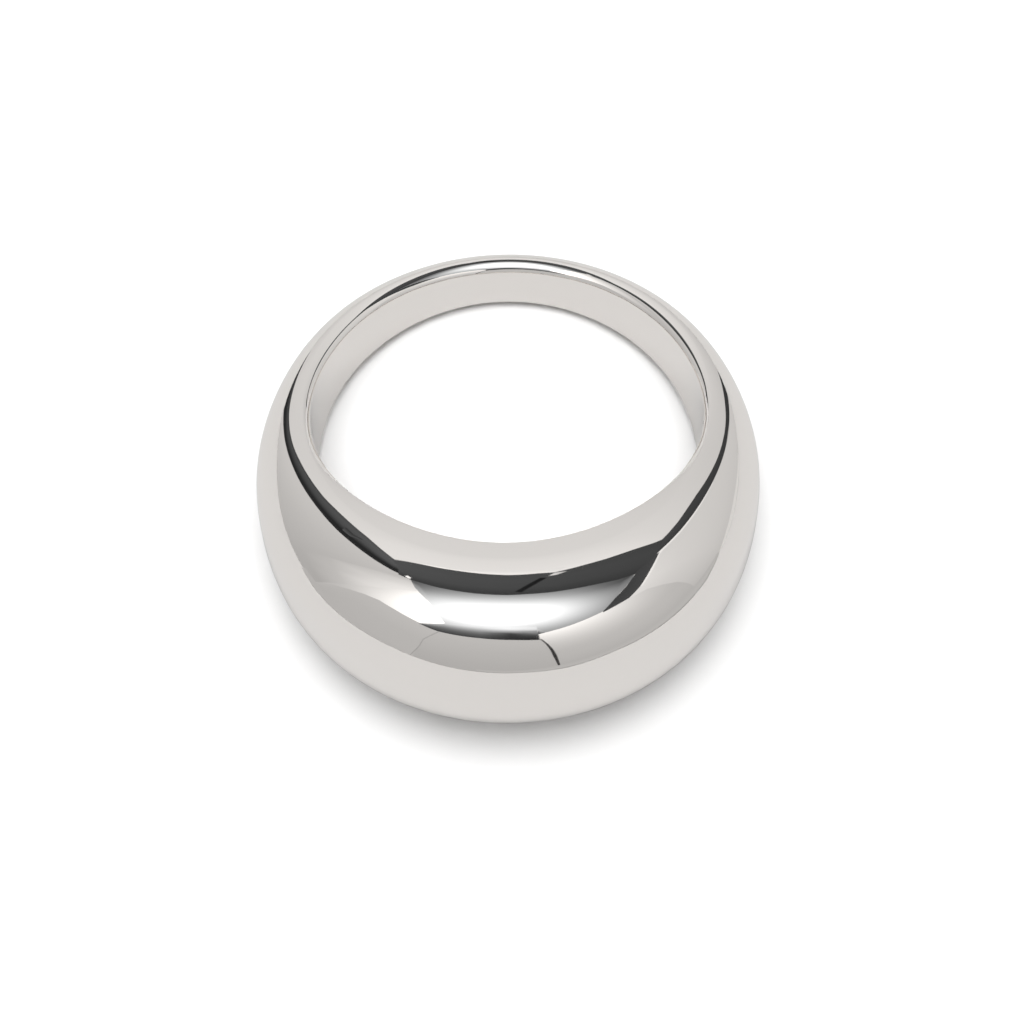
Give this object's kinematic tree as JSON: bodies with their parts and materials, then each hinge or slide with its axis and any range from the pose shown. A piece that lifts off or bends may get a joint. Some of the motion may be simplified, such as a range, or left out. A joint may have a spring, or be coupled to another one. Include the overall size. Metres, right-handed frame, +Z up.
{
  "type": "domed finger ring",
  "caption": "Plain polished silver dome ring: a wide, thick rounded front that tapers to a slim band at the back, lying on its side.",
  "frame": {"origin": "middle of the box round the resting ring, on the floor it lies on", "axes": "+Z up from the floor, +Y from the crown of the dome towards the slim back of the band, +X across"},
  "size_m": [0.0218, 0.0232, 0.0091],
  "materials": {
    "polished_silver": "mirror-polished sterling silver"
  },
  "bodies": {
    "root": {"dome_ring": "polished_silver"}
  },
  "joints": []
}
